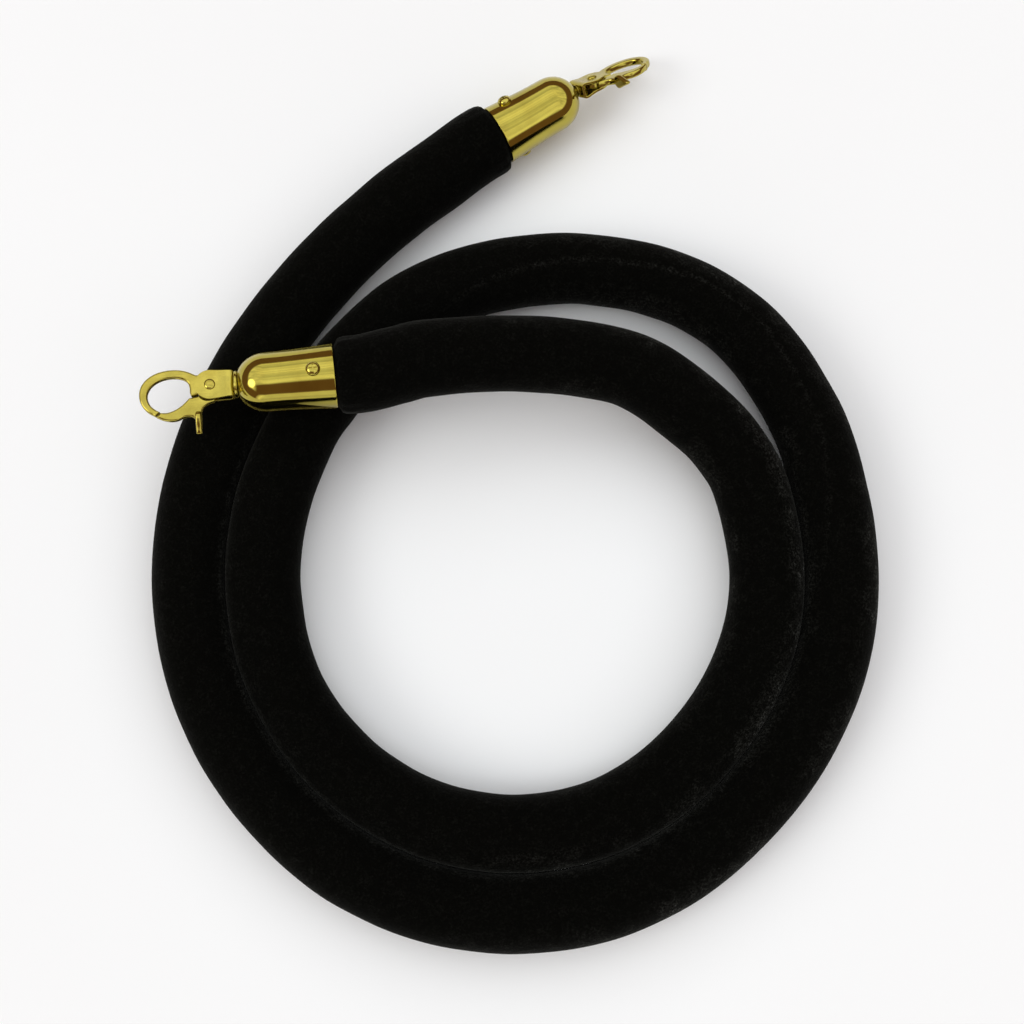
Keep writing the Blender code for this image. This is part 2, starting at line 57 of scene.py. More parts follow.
# Rope
ROPE_RADIUS = 16.0
LYING_HEIGHT = 15.7
SLEEVE_THICKNESS = 1.2
WADDING_RADIUS = 13.6
WADDING_SETBACK = 22.0
SLEEVE_TUCK = 6.3
TUCKED_RADIUS = 11.75
SHOULDER_LENGTH = 6.5
SHOULDER_SHARE = 0.785
RING_STEP = 2.0
RING_SIDES = 72
FLOOR_GAP = 0.12
FLOOR_BLEND = 0.8
CONTACT_GAP = 0.06
CONTACT_BLEND = 1.2
CONTACT_RANGE = 2.2 * ROPE_RADIUS    # centres nearer than this can touch
STRETCH_APART = 70.0                 # along the rope, the least way between stretches that touch
SLIM_STRETCH = (5, 13)         # points of the widening between which the rope is drawn slightly thinner
SLIM_SHARE = 0.035
# Unevenness: (wave length along the rope, waves around it, height)
SLEEVE_WAVES = ((95, 1, 0.10), (61, 2, 0.10), (37, 3, 0.07), (23, 2, 0.05), (150, 0, 0.10))
WADDING_WAVES = ((18, 3, 0.08), (11, 5, 0.06))
PLEAT_DEPTH = 0.28
PLEAT_PLACE = (4.0, 7.0)       # distance from the cap, and half width
SEAM_DEPTH = 0.42
SEAM_HALF_WIDTH = 0.045        # radians around the rope
LIP_HEIGHT = 0.14              # of the raised lips beside the seam
LIP_PLACE = (0.12, 0.05)       # radians from the seam to a lip's crest, and half width
LINT_AND_SHEEN_HALF_WIDTH = 0.06         # radians, of the pale line in the seam
CONTACT_LINT_AND_SHEEN = (0.55, 0.9, 1.1)    # strength, distance from the plane of contact, and half width
# Painted rim sheen around the rope, drawn as pale flecks and stronger on the coil's outside: (degrees from
# the top, with the coil's outside negative, strength)
RIM_SHEEN = (
    (-180.0, 0.1), (-118.0, 0.2), (-92.0, 1.0), (-65.0, 1.0), (-18.0, 0.0),
    (35.0, 0.0), (80.0, 0.5), (100.0, 0.6), (125.0, 0.2), (180.0, 0.1),
)
RIM_SHEEN_FADE = (-30.0, 75.0)       # x up to which the painted rim sheen is weakest, and from which it is at full strength
RIM_SHEEN_LEAST = 0.15
SEAM_TOP = 0.515               # share of the rope's length at which the seam comes to the top
SEAM_SHEEN = (20.0, 85.0)       # where the seam's lint and painted sheen are palest: distance before its top, and half length

# Route, in plan relative to the coil's centre
COIL_CENTRE = (-0.1, -43.0)
FIRST_TURN_RADIUS = 106.8
STRAND_PITCH = 33.0
SETTLING = 1.8                 # how far the second turn is pressed against the first
ARC_STEP = 15
# Where the turns are squeezed out of round: (plan angle, half width, inward shift)
FIRST_TURN_DENTS = ((-40.0, 26.0, 1.9),)
SECOND_TURN_DENTS = ((-38.0, 26.0, 3.4), (-148.0, 24.0, 2.3))
OVERPASS = (
    (-47.9, 84.6, 43.9), (-35.3, 87.9, 42.4), (-0.4, 91.0, 38.3), (35.4, 88.8, 33.6),
    (57.0, 82.0, 29.8), (79.0, 66.6, 24.2), (91.4, 54.4, 20.4), (100.4, 38.4, 17.2),
)
WIDENING = (
    (-106.7, 14.0), (-102.2, 37.6), (-92.2, 63.2), (-82.5, 78.9), (-70.8, 94.6),
    (-50.5, 114.6), (-28.7, 126.8), (-6.0, 133.5), (19.0, 136.4), (37.2, 135.4),
    (59.1, 130.3), (81.2, 120.2), (104.0, 101.8), (125.9, 69.0), (136.6, 34.0),
)
TAIL = (
    (-137.6, 30.4), (-131.0, 58.0), (-121.2, 80.9), (-109.8, 101.0),
    (-94.4, 122.7), (-74.4, 145.5), (-52.0, 166.1), (-32.6, 181.2),
)
WIDENING_SHARES = (0, 0, 0, 0, 0, 0, 0, 0, 0, 0, -0.5, -0.9, -0.7, 0.3, 1.0)
TAIL_SHARES = (1.0, 0.9, 0.7, 0.5, 0.3, 0.1, 0.0, 0.0)

ENDS = {
    "a": {
        "mouth": (-74.2, 79.0, 46.6), "heading": 186.8, "tilt": 5.5, "lean": (0.0, -2.0), "swivel": 180.0,
        "screw": 0.0,
    },
    "b": {
        "mouth": (-7.6, 198.3, 16.8), "heading": 30.9, "tilt": 1.5, "lean": (16.5, 3.5), "swivel": -46.0,
        "screw": -41.0,
    },
}
END_STRAIGHT = 12.0

# Cap
CAP_MOUTH_RADIUS = 13.2
CAP_SHOULDER_RADIUS = 12.0
CAP_SHOULDER_X = 28.0
CAP_NOSE_RADIUS = 4.9
CAP_LENGTH = 39.5
CAP_WALL = 0.9
CAP_RIM = 0.35                 # radius of the rolled mouth
CAP_TAPER_CURVE = 1.2
NOSE_ROUND = 0.25
NOSE_HOLE_RADIUS = 1.95

# Cap screws
SCREW_X = 8.6
SCREW_SEAT_RADIUS = 13.1
SCREW_SHANK_RADIUS = 1.35
SCREW_TIP_RADIUS = 5.6
# Outline of the head: (height above the seat, radius)
SCREW_HEAD = ((-0.75, 2.9), (0.1, 3.0), (0.6, 2.88), (1.05, 2.55), (1.45, 2.0), (1.75, 1.2), (1.86, 0.0))
SCREW_RECESS = (2.2, 3.3, 0.62)    # height of each blade, length and width

# Swivel
SWIVEL_SHANK_RADIUS = 1.6
SWIVEL_HEAD_X = (36.2, 37.7)
SWIVEL_HEAD_RADIUS = 2.9
SWIVEL_TIP = ((42.3, 1.9), (42.9, 1.75), (43.4, 1.1), (43.5, 0.0))    # its riveted end, inside the strap
# Start, end, radius and rounding of each washer
WASHERS = {"a": (39.6, 41.05, 5.5, 0.65), "b": (40.5, 41.0, 2.8, 0.2)}
WASHER_HOLE_RADIUS = 1.72
HOOK_PIVOT_X = 50.7

# Strap
STRAP_THICKNESS = 1.0
STRAP_EAR_HEIGHT = 2.1
STRAP_HALF_BOW = ((-1.5, 2.1), (-3.5, 2.25), (-5.5, 2.6), (-7.3, 2.95), (-8.6, 2.75), (-9.1, 1.9))
STRAP_END_RADIUS = 6.1
STRAP_BASE_HALF_WIDTH = 5.3

# Cross rivet: (height above the hook's middle plane, radius)
CROSS_RIVET_HALF = (
    (2.55, 1.38), (2.55, 2.2), (2.85, 2.24), (3.15, 2.05), (3.4, 1.6), (3.58, 0.9), (3.65, 0.0),
)

# Hook
HOOK_HALF_THICKNESS = 1.5
HOOK_EDGE_ROUND = 0.95
HOOK_SHANK_RADIUS = 5.4
SHANK_ANGLES = (62, 322)
SLOT_RADIUS = 6.0
SLOT_HALF_WIDTH = 0.8
LOOP_OUTSIDE = (
    (22.2, -11.9), (25.3, -9.9), (27.6, -6.9), (28.5, -3.1), (27.7, 0.8), (25.2, 4.0),
    (21.4, 6.2), (16.8, 7.2), (12.2, 7.1), (8.6, 6.1), (5.6, 4.6),
)
LOOP_INSIDE = (
    (8.2, -3.0), (8.3, -0.6), (9.0, 1.6), (11.2, 3.1), (14.6, 3.7), (18.4, 3.3), (21.8, 1.9),
    (24.2, -0.4), (25.2, -3.3), (24.5, -6.4), (22.8, -8.5), (20.5, -10.1),
)
LOOP_THROAT = ((6.2, -3.9), (8.2, -4.4))

# Trigger
HUB_RADIUS = 5.0
HUB_HALF_THICKNESS = 0.7
ARM_INNER_RADIUS = 6.2
ARM_ANGLES = (-44.0, -104.0)
HUB_ROOT_DEPTH = 0.7           # how far the hub's root goes into the arm
HUB_ROOT_MARGIN = 4.0          # degrees that the root is wider than the arm, on each side
GATE_UPPER = ((20.2, -10.4), (17.6, -10.5), (14.8, -9.7), (12.2, -8.2), (10.2, -6.5), (8.6, -4.9))
GATE_LOWER = (
    (-1.5, -6.9), (1.0, -7.7), (3.0, -9.2), (4.0, -11.6), (4.3, -13.6), (4.5, -14.9), (4.9, -15.6),
    (5.5, -15.6), (5.9, -15.0), (6.1, -14.2), (7.0, -13.1), (8.8, -12.6), (11.0, -12.9), (13.2, -13.9),
    (16.0, -14.2), (19.0, -13.6), (21.9, -12.2),
)
# Thumb tab seen from the front: (y, half width), and its place and half depth along x
TAB_HALF = (
    (-10.4, 1.0), (-11.4, 2.3), (-12.8, 3.0), (-15.0, 2.35), (-17.4, 1.4), (-19.2, 0.75), (-19.9, 0.3),
)
TAB_X = 5.2
TAB_HALF_DEPTH = 1.15
TAB_EDGE_ROUND = 0.7

# Gold plate: (colour, deeper colour), roughness and ripple
CAP_GOLD = ((0.44, 0.37, 0.064), (0.38, 0.305, 0.05))
CAP_FINISH = (0.07, 0.07)
HARDWARE_GOLD = ((0.46, 0.385, 0.072), (0.37, 0.295, 0.05))
HARDWARE_FINISH = (0.1, 0.4)

# Light. Directions have +X east, +Y north and +Z up, and a limit is a pair of their components
SOFTBOX_EDGE = (0.47, 0.55)    # the softbox is overhead, above this height
GAP_INNER = (0.36, 0.46)       # it has a gap to the south, between these distances
GAP_OUTER = (0.88, 0.94)
GAP_SIDE = (0.3, 0.5)
GAP_SHIFT = 0.12               # how far the gap's middle lies to the west
WINDOW_SOUTH = (0.86, 0.94)    # a window stands low in the south
WINDOW_TOP = (0.42, 0.34)
SOFTBOX_STREAKS = (0.8, 5.0, 1.2)
SOFTBOX_TONES = ((0.36, (0.82, 0.84, 0.86)), (0.5, (1.22, 1.23, 1.25)), (0.62, (1.6, 1.6, 1.6)))
SURROUNDINGS = (0.22, 0.125, 0.09, 1.0)
LAMP_DIRECTION = (-0.72, -0.26, 0.64)
LAMP_EDGE = (0.955, 0.985)     # cosine of the angle from the lamp's middle, at its rim and where it is full
LAMP_COLOUR = (1.0, 0.99, 0.95, 1.0)
LAMP_STRENGTH = 3.2
BACKDROP = (0.96, 0.96, 0.96, 1.0)

FLOOR_HALF_SIZE = 15000.0


# ---------------------------------------------------------------- node materials

class Nodes:
    """Shorthand for building one node tree."""

    def __init__(self, tree):
        self.tree = tree
        self.tree.nodes.clear()

    def add(self, kind, inputs=None, **settings):
        node = self.tree.nodes.new(kind)
        for name, value in settings.items():
            setattr(node, name, value)
        for name, value in (inputs or {}).items():
            socket = node.inputs[name]
            if isinstance(value, bpy.types.NodeSocket):
                self.tree.links.new(value, socket)
            else:
                socket.default_value = value
        return node

    def noise(self, place, scale, detail=2.0, roughness=0.5, distortion=0.0):
        settings = {
            "Vector": place, "Scale": scale, "Detail": detail, "Roughness": roughness,
            "Distortion": distortion,
        }
        return self.add("ShaderNodeTexNoise", settings).outputs["Fac"]

    def spread(self, value, low, high, to_low=0.0, to_high=1.0):
        ends = {"Value": value, "From Min": low, "From Max": high, "To Min": to_low, "To Max": to_high}
        return self.add("ShaderNodeMapRange", ends).outputs["Result"]

    def ramp(self, value, stops):
        node = self.add("ShaderNodeValToRGB", {"Fac": value})
        ramp = node.color_ramp
        while len(ramp.elements) < len(stops):
            ramp.elements.new(0.5)
        for element, (position, colour) in zip(ramp.elements, stops):
            element.position = position
            element.color = (*colour, 1.0)
        return node.outputs["Color"]

    def maths(self, operation, first, second):
        node = self.add("ShaderNodeMath", operation=operation)
        for socket, value in zip(node.inputs, (first, second)):
            if isinstance(value, bpy.types.NodeSocket):
                self.tree.links.new(value, socket)
            else:
                socket.default_value = value
        return node.outputs["Value"]

    def bump(self, height, strength, distance):
        settings = {"Height": height, "Strength": strength, "Distance": distance}
        return self.add("ShaderNodeBump", settings).outputs["Normal"]

    def finish(self, **inputs):
        named = {key.replace("_", " "): value for key, value in inputs.items()}
        shader = self.add("ShaderNodeBsdfPrincipled", named)
        self.add("ShaderNodeOutputMaterial", {"Surface": shader.outputs["BSDF"]})


def new_material(name):
    material = bpy.data.materials.new(name)
    material.use_nodes = True
    nodes = Nodes(material.node_tree)
    return material, nodes, nodes.add("ShaderNodeTexCoord").outputs["Object"]


def velvet_material():
    """Black pile: near-black fibres, a mottled nap, pale flecks that paint the rim sheen on the flanks, and
    lint with painted sheen along the seam and contact lines.
    """
    material, nodes, place = new_material("black_velvet")
    grain = nodes.noise(place, 1000.0, 3.0, 0.8)
    nap = nodes.noise(place, 260.0, 4.0, 0.65, 0.5)
    crush = nodes.noise(place, 42.0, 3.0, 0.55, 0.5)
    lint = nodes.add("ShaderNodeAttribute", attribute_name="lint").outputs["Fac"]
    flank = nodes.add("ShaderNodeAttribute", attribute_name="flank").outputs["Fac"]
    # rim is painted rim sheen on the flanks, broken into patches; lint brings lint and painted sheen along
    # the seam and contact lines; the small share everywhere is the pile's own pale fibre tips
    rim = nodes.maths("MULTIPLY", flank, nodes.spread(crush, 0.42, 0.58, 0.1, 1.0))
    where = nodes.maths("ADD", nodes.maths("MAXIMUM", rim, nodes.maths("MULTIPLY", lint, 0.75)), 0.06)
    pile = nodes.spread(nap, 0.36, 0.66, 0.05, 1.15)
    tips = nodes.maths("MULTIPLY", nodes.spread(grain, 0.44, 0.7), pile)
    flecks_and_sheen = nodes.maths("MULTIPLY", where, tips)
    stops = ((0.0, (0.0014, 0.0014, 0.001)), (0.3, (0.02, 0.0204, 0.018)), (0.9, (0.12, 0.124, 0.118)))
    colour = nodes.ramp(flecks_and_sheen, stops)
    height = nodes.maths("ADD", nodes.maths("MULTIPLY", grain, 0.5), nap)
    nodes.finish(
        Base_Color=colour, Roughness=nodes.spread(nap, 0.3, 0.7, 0.88, 1.0), Specular_IOR_Level=0.02,
        Sheen_Weight=0.05, Sheen_Roughness=0.35, Sheen_Tint=(0.9, 0.92, 0.85, 1.0),
        Normal=nodes.bump(height, 0.7, 0.0006))
    return material


def gold_material(name, colour, deep_colour, roughness, ripple):
    """Gold plate: slightly uneven tone, fine polishing haze and a faint ripple in its reflections."""
    material, nodes, place = new_material(name)
    tone = nodes.noise(place, 90.0, 3.0, 0.55)
    haze = nodes.noise(place, 900.0, 4.0, 0.65)
    wave = nodes.noise(place, 70.0, 2.0, 0.5)
    stretched = nodes.add("ShaderNodeMapping", {"Vector": place, "Scale": (60.0, 2400.0, 2400.0)})
    marks = nodes.noise(stretched.outputs["Vector"], 1.0, 2.0, 0.6)
    base = nodes.ramp(tone, ((0.3, deep_colour), (0.62, colour)))
    facing = nodes.add("ShaderNodeLayerWeight", {"Blend": 0.5}).outputs["Facing"]
    edge = nodes.spread(facing, 0.55, 0.8, 1.0, 2.6)
    rough = nodes.maths("MULTIPLY", nodes.spread(haze, 0.3, 0.75, roughness * 0.75, roughness * 1.6), edge)
    height = nodes.maths("ADD", nodes.maths("MULTIPLY", marks, 0.02), wave)
    nodes.finish(
        Base_Color=base, Metallic=nodes.spread(facing, 0.6, 0.9, 1.0, 0.4), Roughness=rough,
        Normal=nodes.bump(height, ripple, 0.0012))
    return material


def wadding_material():
    """Pale, matted fibre of the rope's core."""
    material, nodes, place = new_material("pale_wadding")
    fibre = nodes.noise(place, 700.0, 5.0, 0.7, 1.5)
    clump = nodes.noise(place, 60.0, 3.0, 0.5)
    mixed = nodes.maths("MULTIPLY", fibre, nodes.spread(clump, 0.3, 0.7, 0.8, 1.2))
    colour = nodes.ramp(mixed, ((0.25, (0.42, 0.4, 0.36)), (0.7, (0.72, 0.7, 0.64))))
    nodes.finish(
        Base_Color=colour, Roughness=0.95, Sheen_Weight=0.3, Sheen_Roughness=0.6,
        Normal=nodes.bump(fibre, 0.8, 0.001))
    return material


def wood_material():
    """Plain light wood, its fibres along the plug."""
    material, nodes, place = new_material("turned_wood")
    stretched = nodes.add("ShaderNodeMapping", {"Vector": place, "Scale": (90.0, 520.0, 520.0)})
    fibre = nodes.noise(stretched.outputs["Vector"], 1.0, 4.0, 0.6, 0.4)
    rings = nodes.noise(place, 45.0, 1.0, 0.4, 1.2)
    mixed = nodes.maths("ADD", nodes.maths("MULTIPLY", fibre, 0.6), nodes.maths("MULTIPLY", rings, 0.5))
    colour = nodes.ramp(mixed, ((0.3, (0.26, 0.15, 0.07)), (0.75, (0.56, 0.4, 0.23))))
    nodes.finish(
        Base_Color=colour, Roughness=nodes.spread(fibre, 0.3, 0.7, 0.6, 0.8),
        Normal=nodes.bump(fibre, 0.4, 0.0004))
    return material


def steel_material():
    """Drawn spring wire."""
    material, nodes, place = new_material("spring_wire")
    drawn = nodes.noise(place, 3000.0, 3.0, 0.6)
    colour = nodes.ramp(drawn, ((0.3, (0.42, 0.42, 0.43)), (0.7, (0.62, 0.62, 0.62))))
    nodes.finish(
        Base_Color=colour, Metallic=1.0, Roughness=nodes.spread(drawn, 0.3, 0.7, 0.22, 0.4),
        Normal=nodes.bump(drawn, 0.2, 0.0001))
    return material


def floor_material():
    """Nearly white ground, faintly cool against the warm light from its surroundings."""
    material, nodes, place = new_material("pale_floor")
    cloud = nodes.noise(place, 3.0, 2.0, 0.5)
    colour = nodes.ramp(cloud, ((0.3, (0.935, 0.953, 0.96)), (0.7, (0.955, 0.973, 0.98))))
    nodes.finish(Base_Color=colour, Roughness=0.9, Specular_IOR_Level=0.2)
    return material


def build_materials():
    return {
        "velvet": velvet_material(),
        "wadding": wadding_material(),
        "wood": wood_material(),
        "steel": steel_material(),
        "floor": floor_material(),
        "cap": gold_material("cap_gold_plate", *CAP_GOLD, *CAP_FINISH),
        "hardware": gold_material("hardware_gold_plate", *HARDWARE_GOLD, *HARDWARE_FINISH),
    }


# ---------------------------------------------------------------- shapes

def arc_points(radius, start, end, steps):
    angles = [math.radians(start + (end - start) * step / steps) for step in range(steps + 1)]
    return [(radius * math.cos(a), radius * math.sin(a)) for a in angles]


def smooth_points(points, per_span):
    """Catmull-Rom curve through the points, with per_span steps between neighbours."""
    knots = [Vector(point) for point in points]
    knots = [knots[0] * 2 - knots[1]] + knots + [knots[-1] * 2 - knots[-2]]
    curve = []
    for before, start, end, after in zip(knots, knots[1:], knots[2:], knots[3:]):
        for step in range(per_span):
            t = step / per_span
            pull = (end - before) * t
            bend = (before * 2 - start * 5 + end * 4 - after) * t * t
            twist = (start * 3 - before - end * 3 + after) * t ** 3
            curve.append(start + (pull + bend + twist) / 2)
    curve.append(knots[-2])
    return curve


def smooth_outline(points, per_span=8):
    return [tuple(point) for point in smooth_points([Vector(p) for p in points], per_span)]


def even_outline(points, step=0.35):
    """The closed outline again, with points evenly spaced along it."""
    loop = np.array([*points, points[0]], dtype=float)
    travelled = np.concatenate([[0.0], np.cumsum(np.linalg.norm(np.diff(loop, axis=0), axis=1))])
    count = int(travelled[-1] / step)
    spots = np.linspace(0.0, travelled[-1], count, endpoint=False)
    return np.stack([np.interp(spots, travelled, loop[:, k]) for k in range(2)], axis=1).tolist()


def rounded(profile, radius, steps=5):
    """A polyline with its inner corners rounded."""
    points = [Vector(point) for point in profile]
    path = [points[0]]
    for before, corner, after in zip(points, points[1:], points[2:]):
        into, out = before - corner, after - corner
        reach = min(radius, into.length * 0.45, out.length * 0.45)
        start, end = corner + into.normalized() * reach, corner + out.normalized() * reach
        for step in range(steps + 1):
            t = step / steps
            path.append(start * (1 - t) ** 2 + corner * (2 * t * (1 - t)) + end * t * t)
    path.append(points[-1])
    return [tuple(point) for point in path]


def mesh_from(bm, name):
    bmesh.ops.scale(bm, vec=(MM, MM, MM), verts=bm.verts)
    bmesh.ops.recalc_face_normals(bm, faces=bm.faces)
    mesh = bpy.data.meshes.new(name)
    bm.to_mesh(mesh)
    bm.free()
    mesh.shade_smooth()
    return mesh


def turned(name, profile, segments=96, ring=False):
    """Turn (x, radius) points about the X axis. A ring's profile is a closed loop off the axis."""
    bm = bmesh.new()
    rows = []
    for x, radius in profile:
        if radius < 1e-6:
            rows.append([bm.verts.new((x, 0, 0))] * segments)
            continue
        angles = [math.tau * (step + 0.5) / segments for step in range(segments)]
        rows.append([bm.verts.new((x, radius * math.cos(a), radius * math.sin(a))) for a in angles])
    pairs = list(zip(rows, rows[1:]))
    if ring:
        pairs.append((rows[-1], rows[0]))
    for first, second in pairs:
        for step in range(segments):
            after = (step + 1) % segments
            corners = [first[step], first[after], second[after], second[step]]
            bm.faces.new(list(dict.fromkeys(corners)))
    return mesh_from(bm, name)


def plate(name, outline, low, high):
    bm = bmesh.new()
    face = bm.faces.new([bm.verts.new((x, y, low)) for x, y in outline])
    sides = bmesh.ops.extrude_face_region(bm, geom=[face])
    raised = [item for item in sides["geom"] if isinstance(item, bmesh.types.BMVert)]
    bmesh.ops.translate(bm, verts=raised, vec=(0, 0, high - low))
    return mesh_from(bm, name)


def inward_room(points, normals):
    """Radius of the largest circle inside the outline that touches it at each point."""
    across = points[None, :, :] - points[:, None, :]
    ahead = (across * normals[:, None, :]).sum(axis=2)
    room = np.where(ahead > 1e-6, (across ** 2).sum(axis=2) / np.maximum(2 * ahead, 1e-6), np.inf)
    return room.min(axis=1)


def rounded_plate(name, outline, half_thickness, edge_round, steps=6):
    """Plate about z = 0 with its rims rounded over, and less so where the outline is narrow."""
    points = np.array(outline, dtype=float)
    along = np.roll(points, -1, axis=0) - np.roll(points, 1, axis=0)
    area = (points[:, 0] * np.roll(points[:, 1], -1) - np.roll(points[:, 0], -1) * points[:, 1]).sum()
    normals = unit(np.stack([-along[:, 1], along[:, 0]], axis=1)) * (1.0 if area > 0 else -1.0)
    reach = np.minimum(edge_round, 0.8 * inward_room(points, normals))
    for _ in range(2):
        reach = np.minimum(reach, (np.roll(reach, 1) + reach + np.roll(reach, -1)) / 3)
    rows = []
    for step in range(steps + 1):
        angle = math.pi / 2 * step / steps
        inset = points + normals * (reach * (1 - math.cos(angle)))[:, None]
        rows.append((inset, half_thickness - edge_round * (1 - math.sin(angle))))
    levels = [(inset, -z) for inset, z in reversed(rows)] + rows
    shells = [np.column_stack([inset, np.full(len(inset), z)])[None] for inset, z in levels]
    return skin(name, shells, ring=False)


def block(name, size):
    bm = bmesh.new()
    bmesh.ops.create_cube(bm, size=1.0)
    bmesh.ops.scale(bm, vec=size, verts=bm.verts)
    return mesh_from(bm, name)


def place_object(name, mesh, matrix=Matrix.Identity(4), material=None):
    item = bpy.data.objects.new(name, mesh)
    bpy.context.scene.collection.objects.link(item)
    item.matrix_world = matrix
    if material:
        mesh.materials.append(material)
    return item


def add_cut(item, cutter, operation="DIFFERENCE"):
    modifier = item.modifiers.new("cut", "BOOLEAN")
    modifier.operation = operation
    modifier.solver = "EXACT"
    modifier.object = cutter
    return cutter


def settle(item, cutters=(), sharp_angle=38.0):
    """Turn the modifiers into plain mesh, with even shading on flats beside rounded edges."""
    bpy.context.view_layer.update()
    graph = bpy.context.evaluated_depsgraph_get()
    mesh = bpy.data.meshes.new_from_object(item.evaluated_get(graph))
    item.modifiers.clear()
    item.data = mesh
    for cutter in cutters:
        bpy.data.objects.remove(cutter)
    mesh.shade_smooth()
    mesh.set_sharp_from_angle(angle=math.radians(sharp_angle))
    weigh = item.modifiers.new("even shading", "WEIGHTED_NORMAL")
    weigh.keep_sharp = True
    return item


def own(item, body, slot, *nodes):
    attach(item, body)
    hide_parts(*nodes)
    return item


# ---------------------------------------------------------------- frames of the two ends

def end_mouth(end):
    return Vector(end["mouth"]) + Vector((*COIL_CENTRE, 0.0))


def end_matrix(end):
    turn = Euler((0.0, -math.radians(end["tilt"]), math.radians(end["heading"]))).to_matrix().to_4x4()
    return Matrix.Translation(end_mouth(end) * MM) @ turn


def hook_matrix(end):
    down, left = (math.radians(angle) for angle in end["lean"])
    play_x = CAP_LENGTH - CAP_WALL / 2
    lean = Euler((0.0, down, left)).to_matrix().to_4x4()
    reach = Matrix.Translation(((HOOK_PIVOT_X - play_x) * MM, 0, 0))
    turn = Matrix.Rotation(math.radians(end["swivel"]), 4, "X")
    return end_matrix(end) @ Matrix.Translation((play_x * MM, 0, 0)) @ lean @ reach @ turn


# ---------------------------------------------------------------- rope

def end_direction(end):
    return end_matrix(end).to_3x3() @ Vector((1, 0, 0))


def pressed(points, shares):
    """Plan points moved towards the coil's centre by their share of the settling, at lying height."""
    moved = []
    for (x, y), share in zip(points, shares):
        distance = math.hypot(x, y)
        scale = (distance - SETTLING * share) / distance
        moved.append((x * scale, y * scale, LYING_HEIGHT))
    return moved


def turn_points(radius, start, end, dents):
    """Points of a flat turn, drawn inwards at its dents."""
    points = []
    for angle in range(start, end - 1, -ARC_STEP):
        inward = sum(depth * math.exp(-((angle - middle) / width) ** 2) for middle, width, depth in dents)
        around = math.radians(angle)
        reach = radius - inward
        points.append((reach * math.cos(around), reach * math.sin(around), LYING_HEIGHT))
    return points


def rope_route():
    """The rope's centre line in millimetres, from the mouth of cap a to the mouth of cap b."""
    middle = [
        *OVERPASS,
        *turn_points(FIRST_TURN_RADIUS, 5, -175, FIRST_TURN_DENTS),
        *pressed(WIDENING, WIDENING_SHARES),
        *turn_points(FIRST_TURN_RADIUS + STRAND_PITCH - SETTLING, 0, -180, SECOND_TURN_DENTS),
        *pressed(TAIL, TAIL_SHARES),
    ]
    shift = Vector((*COIL_CENTRE, 0.0))
    first, last = ENDS["a"], ENDS["b"]
    start, finish = end_mouth(first), end_mouth(last)
    route = [start, start - end_direction(first) * END_STRAIGHT]
    route += [Vector(point) + shift for point in middle]
    route += [finish - end_direction(last) * END_STRAIGHT, finish]
    return np.array([tuple(point) for point in smooth_points(route, per_span=16)])


def resample(points, step):
    """Evenly spaced points along a polyline, with their distances."""
    lengths = np.linalg.norm(np.diff(points, axis=0), axis=1)
    travelled = np.concatenate([[0.0], np.cumsum(lengths)])
    count = int(round(travelled[-1] / step))
    distances = np.linspace(0.0, travelled[-1], count + 1)
    return np.stack([np.interp(distances, travelled, points[:, k]) for k in range(3)], axis=1), distances


def unit(vectors):
    return vectors / np.linalg.norm(vectors, axis=-1, keepdims=True)


def ring_frames(centres):
    """Upward and sideways unit vectors at each centre, square to the centre line."""
    tangents = unit(np.gradient(centres, axis=0))
    up = unit(np.array([0.0, 0.0, 1.0]) - tangents * tangents[:, 2:3])
    return up, np.cross(tangents, up)


def lumps(distances, angles, seed, waves):
    """Slow, smooth unevenness over the tube, from a few waves with set phases."""
    random = np.random.default_rng(seed)
    total = np.zeros((len(distances), len(angles)))
    for wave_length, turns, size in waves:
        phase = random.uniform(0.0, math.tau, 2)
        along = np.sin(distances * math.tau / wave_length + phase[0])
        around = np.cos(angles * turns + phase[1] + distances[:, None] * 0.004 * turns)
        total += size * along[:, None] * around
    return total


def shoulder_share(from_mouth):
    """Radius share near a cap, where the sleeve rounds over before it goes inside."""
    near = np.clip(from_mouth / SHOULDER_LENGTH, 0.0, 1.0)
    return SHOULDER_SHARE + (1.0 - SHOULDER_SHARE) * (1.0 - (1.0 - near) ** 2.3) ** (1 / 2.3)


def soft_limit(excess, blend):
    """Zero well below the limit, the excess itself well above it, and a smooth change between."""
    curved = np.where(excess < -blend, 0.0, (excess + blend) ** 2 / (4 * blend))
    return np.where(excess > blend, excess, curved)


def keep_clear(rings, centres, distances):
    """Flatten the tube on the floor and against itself; also gives how near each point is to a contact, as
    the strength of the lint and painted sheen there.
    """
    touch = np.zeros(rings.shape[:2])
    strength, place, width = CONTACT_LINT_AND_SHEEN
    for index in range(len(centres)):
        others = np.abs(distances - distances[index]) > STRETCH_APART
        gaps = np.linalg.norm(centres[others] - centres[index], axis=1)
        close = others.nonzero()[0][gaps < CONTACT_RANGE]
        if len(close) == 0:
            continue
        arms = rings[index] - centres[index]
        between = centres[close] - centres[index]
        spans = np.linalg.norm(between, axis=1)
        reach = arms @ between.T / spans
        excess = reach - (spans / 2 - CONTACT_GAP)
        share = 1.0 - soft_limit(excess, CONTACT_BLEND) / np.maximum(reach, 1.0)
        rings[index] = centres[index] + arms * share.min(axis=1)[:, None]
        # Lint and painted sheen along the line of contact
        touch[index] = strength * np.exp(-((excess.max(axis=1) + place) / width) ** 2)
    rings[..., 2] = FLOOR_GAP + soft_limit(rings[..., 2] - FLOOR_GAP, FLOOR_BLEND)
    return rings, touch


def around_axis(up, side, angles):
    """Unit vectors at the angles from up towards side."""
    return np.cos(angles)[:, None] * up + np.sin(angles)[:, None] * side


def tube_rings(centres, radii):
    """Ring points from centres and a radius for each ring and side."""
    up, side = ring_frames(centres)
    angles = np.linspace(0.0, math.tau, radii.shape[1], endpoint=False)
    around = around_axis(up[:, None, :], side[:, None, :], angles)
    return centres[:, None, :] + radii[..., None] * around


